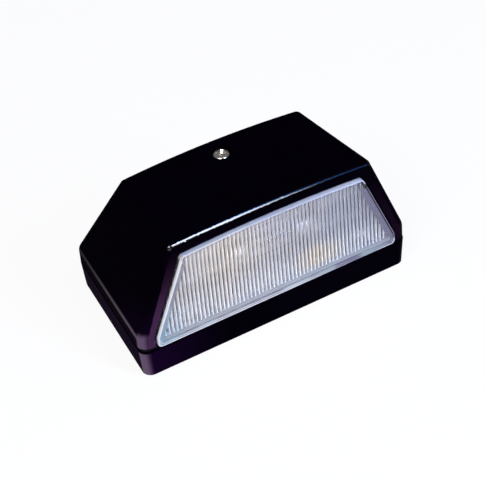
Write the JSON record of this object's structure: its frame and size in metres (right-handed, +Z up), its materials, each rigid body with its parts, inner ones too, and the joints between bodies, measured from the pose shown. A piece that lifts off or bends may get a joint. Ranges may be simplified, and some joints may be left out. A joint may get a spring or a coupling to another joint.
{
  "type": "number plate lamp",
  "caption": "Number plate lamp with a black hipped plastic cover on a shallow base, a ribbed clear lens across its front, a festoon bulb inside, and fixing holes and a cable entry in the base.",
  "frame": {"origin": "middle of the lamp's footprint, on the underside of the base", "axes": "+X along the length of the lamp, to the right as the lens is looked at; +Y from the lens to the back; +Z up, away from the surface the lamp is screwed to"},
  "size_m": [0.1112, 0.0646, 0.054],
  "materials": {
    "housing_black": "black moulded plastic, satin to gloss",
    "lens_clear": "clear moulded plastic",
    "seal_rubber": "black rubber",
    "screw_nickel": "bright nickel plate",
    "steel_zinc": "zinc plated steel",
    "contact_brass": "bright rolled brass",
    "bulb_clear": "clear glass",
    "reflector_bright": "bright rolled aluminium"
  },
  "bodies": {
    "root": {"base_housing": "housing_black", "cover": "housing_black", "lens": "lens_clear", "lens_seal": "seal_rubber", "base_gasket": "seal_rubber", "cover_screw": "screw_nickel", "screw_seal_washer": "seal_rubber", "threaded_insert": "contact_brass", "bulb_glass": "bulb_clear", "bulb_cap_right": "steel_zinc", "bulb_cap_left": "steel_zinc", "bulb_filament": "steel_zinc", "contact_spring_right": "contact_brass", "contact_spring_left": "contact_brass", "contact_rivets": "contact_brass", "terminal_screws": "steel_zinc", "terminal_clamps": "contact_brass", "reflector": "reflector_bright", "reflector_screws": "steel_zinc", "cable_grommet": "seal_rubber"}
  },
  "joints": []
}
